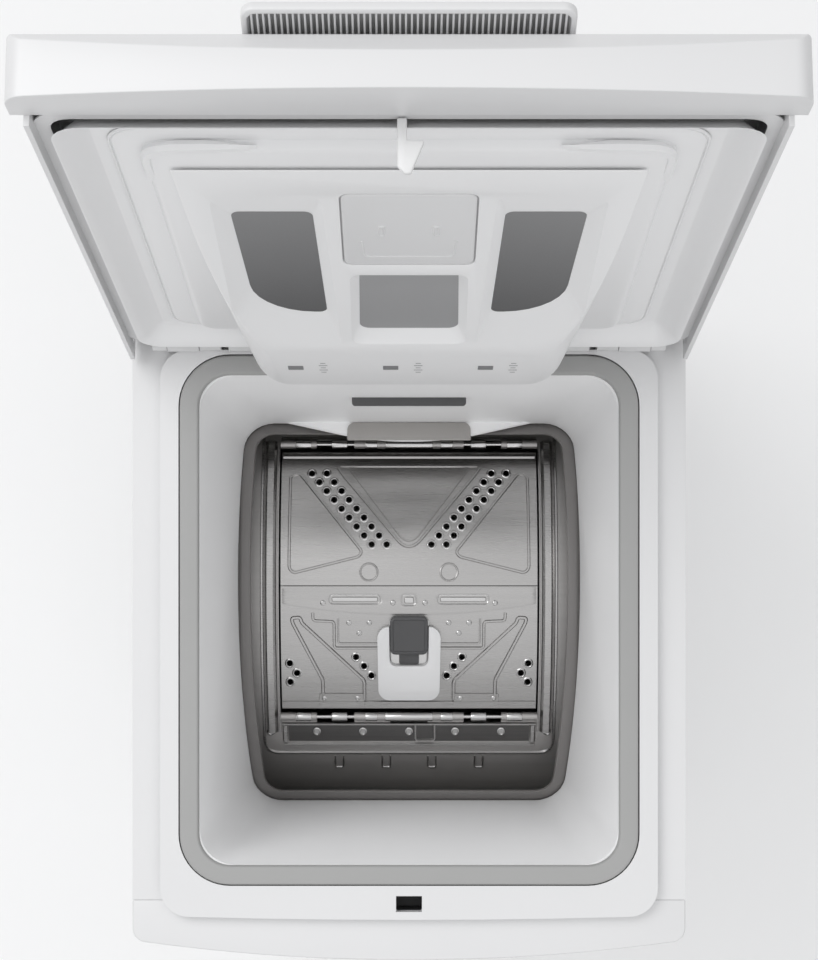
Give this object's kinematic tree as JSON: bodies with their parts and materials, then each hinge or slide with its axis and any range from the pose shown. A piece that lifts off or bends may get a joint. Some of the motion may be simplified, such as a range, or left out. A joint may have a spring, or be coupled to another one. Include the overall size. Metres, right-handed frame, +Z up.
{
  "type": "top load washing machine",
  "caption": "Narrow top-loading washing machine with a cross-mounted drum, its lid open over a seal, a throat well and two curved drum doors.",
  "frame": {"origin": "on the floor, under the middle of the machine", "axes": "+X to the user's right, -Y to the front of the machine, +Z up"},
  "size_m": [0.4, 0.6, 1.2848],
  "materials": {
    "white_steel": "white stove enamel",
    "white_plastic": "white moulded ABS",
    "liner_plastic": "white moulded polypropylene",
    "seal_rubber": "mid grey",
    "hook_plastic": "white acetal",
    "gasket_rubber": "dark grey",
    "belt_rubber": "black ribbed",
    "dark_plastic": "dark grey",
    "knob_plastic": "white with a pointer",
    "display_glass": "smoked window",
    "drum_steel": "stainless steel",
    "bright_steel": "bright steel",
    "frame_steel": "galvanised",
    "tub_plastic": "grey filled polypropylene",
    "cast_parts": "die cast"
  },
  "bodies": {
    "cabinet": {"side_panel_left": "white_steel", "side_panel_right": "white_steel", "front_panel": "white_steel", "front_trim": "white_plastic", "rear_panel": "white_steel", "base_frame": "frame_steel", "rear_feet": "gasket_rubber", "cabinet_screws": "bright_steel", "top_cover": "white_plastic", "lid_hinge_pins": "bright_steel", "throat_well": "liner_plastic", "lid_seal": "seal_rubber", "lid_lock": "dark_plastic", "console_housing": "white_plastic", "console_fascia": "white_plastic", "display_window": "display_glass", "control_board": "dark_plastic", "pump_body": "tub_plastic", "drain_hose": "gasket_rubber", "inlet_valve": "tub_plastic", "cord_gland": "dark_plastic", "suspension_springs": "bright_steel", "dampers": "frame_steel", "sump_hose": "gasket_rubber", "tub_gasket": "gasket_rubber"},
    "lid": {"lid_shell": "white_plastic", "lid_inner": "liner_plastic", "lid_cap": "white_plastic", "latch_hook": "hook_plastic"},
    "dispenser": {"dispenser": "liner_plastic"},
    "dispenser_flap": {"dispenser_flap": "white_plastic"},
    "tub": {"tub_shell": "tub_plastic", "tub_end_left": "tub_plastic", "tub_end_right": "tub_plastic", "counterweight": "cast_parts", "heater": "bright_steel", "drum_bearings": "bright_steel", "motor_stator": "cast_parts", "drive_belt": "belt_rubber"},
    "drum": {"drum_shell": "drum_steel", "drum_end_left": "drum_steel", "drum_end_right": "drum_steel", "drum_hinge_pins": "bright_steel", "drum_shafts": "bright_steel", "drum_lifters": "tub_plastic", "drum_screws": "bright_steel", "drum_pulley": "cast_parts"},
    "rear_drum_door": {"rear_drum_door": "drum_steel"},
    "front_drum_door": {"front_drum_door": "drum_steel", "latch_cover": "white_plastic"},
    "latch_button": {"latch_button": "dark_plastic"},
    "motor": {"motor_rotor": "cast_parts", "motor_pulley": "cast_parts"},
    "pump_impeller": {"pump_impeller": "tub_plastic"},
    "filter_cap": {"filter_cap": "tub_plastic"},
    "filter_flap": {"filter_flap": "white_steel"},
    "programme_knob": {"programme_knob": "knob_plastic"},
    "start_button": {"start_button": "dark_plastic"},
    "front_foot_left": {"front_foot_left": "gasket_rubber"},
    "front_foot_right": {"front_foot_right": "gasket_rubber"}
  },
  "joints": [
    {"name": "lid_hinge", "type": "hinge", "parent": "cabinet", "child": "lid", "pos_m": [0, 0.1314, 0.858], "axis": [-1, 0, 0], "range_deg": [-98.84, 0]},
    {"name": "dispenser_slide", "type": "slide", "parent": "lid", "child": "dispenser", "axis": [0, -0.9881, 0.1537], "range_m": [0, 0.06]},
    {"name": "dispenser_flap_hinge", "type": "hinge", "parent": "dispenser", "child": "dispenser_flap", "pos_m": [0, 0.14462, 1.08021], "axis": [1, 0, 0], "range_deg": [0, 70]},
    {"name": "tub_bounce", "type": "slide", "parent": "cabinet", "child": "tub", "axis": [0, 0, 1], "range_m": [-0.008, 0.008], "stiffness_N_per_m": 40000, "springref_m": 0.0055, "deforming": ["suspension_springs", "dampers", "sump_hose", "tub_gasket"]},
    {"name": "drum_spin", "type": "hinge", "parent": "tub", "child": "drum", "pos_m": [0, -0.03, 0.475], "axis": [1, 0, 0], "continuous": true},
    {"name": "rear_door_hinge", "type": "hinge", "parent": "drum", "child": "rear_drum_door", "pos_m": [0, 0.076, 0.67573], "axis": [-1, 0, 0], "range_deg": [0, 60]},
    {"name": "front_door_hinge", "type": "hinge", "parent": "drum", "child": "front_drum_door", "pos_m": [0, -0.136, 0.67573], "axis": [1, 0, 0], "range_deg": [0, 68]},
    {"name": "latch_button_slide", "type": "slide", "parent": "front_drum_door", "child": "latch_button", "axis": [0, -0.9833, -0.1822], "range_m": [0, 0.008], "stiffness_N_per_m": 200, "springref_m": -0.002},
    {"name": "motor_spin", "type": "hinge", "parent": "tub", "child": "motor", "pos_m": [0, 0.128, 0.201], "axis": [1, 0, 0], "continuous": true},
    {"name": "impeller_spin", "type": "hinge", "parent": "cabinet", "child": "pump_impeller", "pos_m": [0.098, -0.2575, 0.095], "axis": [0, 1, 0], "continuous": true},
    {"name": "filter_cap_turn", "type": "hinge", "parent": "cabinet", "child": "filter_cap", "pos_m": [0.098, -0.2575, 0.095], "axis": [0, -1, 0], "range_deg": [0, 90]},
    {"name": "filter_flap_hinge", "type": "hinge", "parent": "cabinet", "child": "filter_flap", "pos_m": [0, -0.2997, 0.044], "axis": [1, 0, 0], "range_deg": [0, 70]},
    {"name": "programme_knob_turn", "type": "hinge", "parent": "cabinet", "child": "programme_knob", "pos_m": [0, 0.2162, 0.88276], "axis": [0, -0.2773, 0.9608], "continuous": true},
    {"name": "start_button_press", "type": "slide", "parent": "cabinet", "child": "start_button", "axis": [0, 0.2773, -0.9608], "range_m": [0, 0.0015], "stiffness_N_per_m": 300, "springref_m": -0.001},
    {"name": "front_foot_left_turn", "type": "hinge", "parent": "cabinet", "child": "front_foot_left", "pos_m": [-0.161, -0.2415, 0], "axis": [0, 0, 1], "continuous": true},
    {"name": "front_foot_right_turn", "type": "hinge", "parent": "cabinet", "child": "front_foot_right", "pos_m": [0.161, -0.2415, 0], "axis": [0, 0, 1], "continuous": true}
  ],
  "couplings": [
    {"joint": "drum_spin", "follows": "motor_spin", "ratio": 0.083333}
  ]
}
